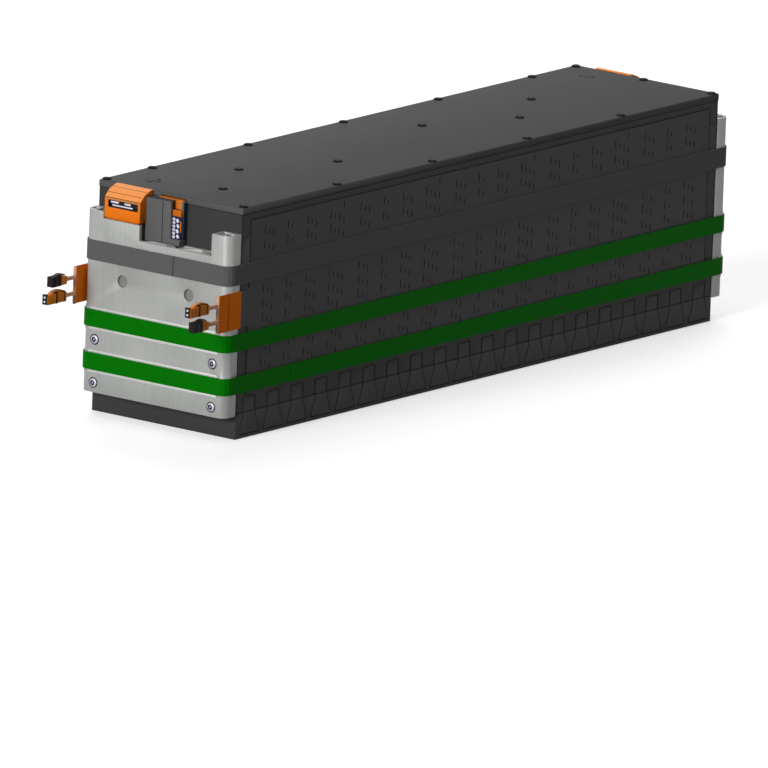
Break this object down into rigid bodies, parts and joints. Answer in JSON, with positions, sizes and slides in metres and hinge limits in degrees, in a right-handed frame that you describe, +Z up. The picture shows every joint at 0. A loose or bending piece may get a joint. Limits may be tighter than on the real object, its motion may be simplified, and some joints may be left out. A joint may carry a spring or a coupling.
{
  "type": "electric vehicle battery module",
  "caption": "Rectangular lithium battery module with extruded end plates, strapped prismatic cells, screwed lid, orange terminal covers, signal connector and side heater films.",
  "frame": {"origin": "middle of the tray's underside", "axes": "+X along the module's length, away from the signal connector; +Y across it, towards the output terminals; +Z up, towards the lid"},
  "size_m": [0.6944, 0.1484, 0.1864],
  "materials": {
    "cell_can": "satin",
    "tray_plastic": "fine moulded texture",
    "panel_plastic": "fine moulded texture",
    "insulator_sheet": "plain sheet",
    "heater_film": "laminated film",
    "extruded_aluminium": "mill finish",
    "grey_strap": "woven tape",
    "green_strap": "smooth tape",
    "busbar_aluminium": "rolled",
    "carrier_plastic": "moulded",
    "flex_circuit": "polyimide film",
    "lid_plastic": "fine moulded texture",
    "terminal_plastic": "moulded",
    "cover_plastic": "moulded",
    "connector_shell": "moulded",
    "header_plastic": "moulded",
    "lead_sleeve": "smooth",
    "plug_plastic": "moulded"
  },
  "bodies": {
    "root": {"cell_01": "cell_can", "cell_02": "cell_can", "cell_03": "cell_can", "cell_04": "cell_can", "cell_05": "cell_can", "cell_06": "cell_can", "cell_07": "cell_can", "cell_08": "cell_can", "cell_09": "cell_can", "cell_10": "cell_can", "cell_11": "cell_can", "cell_12": "cell_can", "cell_13": "cell_can", "cell_14": "cell_can", "cell_15": "cell_can", "cell_16": "cell_can", "cell_17": "cell_can", "cell_18": "cell_can", "cell_19": "cell_can", "cell_20": "cell_can", "bottom_tray": "tray_plastic", "side_panel_left": "panel_plastic", "side_panel_right": "panel_plastic", "end_insulator_front": "insulator_sheet", "end_insulator_rear": "insulator_sheet", "heater_film_left": "heater_film", "heater_film_right": "heater_film", "end_plate_front": "extruded_aluminium", "end_plate_rear": "extruded_aluminium", "grey_strap": "grey_strap", "upper_green_strap": "green_strap", "lower_green_strap": "green_strap", "busbar_carrier": "carrier_plastic", "busbar_left_1": "busbar_aluminium", "busbar_left_2": "busbar_aluminium", "busbar_left_3": "busbar_aluminium", "busbar_left_4": "busbar_aluminium", "busbar_left_5": "busbar_aluminium", "busbar_left_6": "busbar_aluminium", "busbar_right_1": "busbar_aluminium", "busbar_right_2": "busbar_aluminium", "busbar_right_3": "busbar_aluminium", "busbar_right_4": "busbar_aluminium", "busbar_right_5": "busbar_aluminium", "flex_circuit": "flex_circuit", "lid": "lid_plastic", "terminal_seat_front": "terminal_plastic", "terminal_seat_rear": "terminal_plastic", "terminal_cover_front": "cover_plastic", "terminal_cover_rear": "cover_plastic", "signal_connector": "connector_shell", "signal_header": "header_plastic", "heater_lead_left_lower": "lead_sleeve", "heater_connector_left_lower": "plug_plastic", "heater_lead_left_upper": "lead_sleeve", "heater_connector_left_upper": "plug_plastic", "heater_lead_right_lower": "lead_sleeve", "heater_connector_right_lower": "plug_plastic", "heater_lead_right_upper": "lead_sleeve", "heater_connector_right_upper": "plug_plastic"}
  },
  "joints": []
}
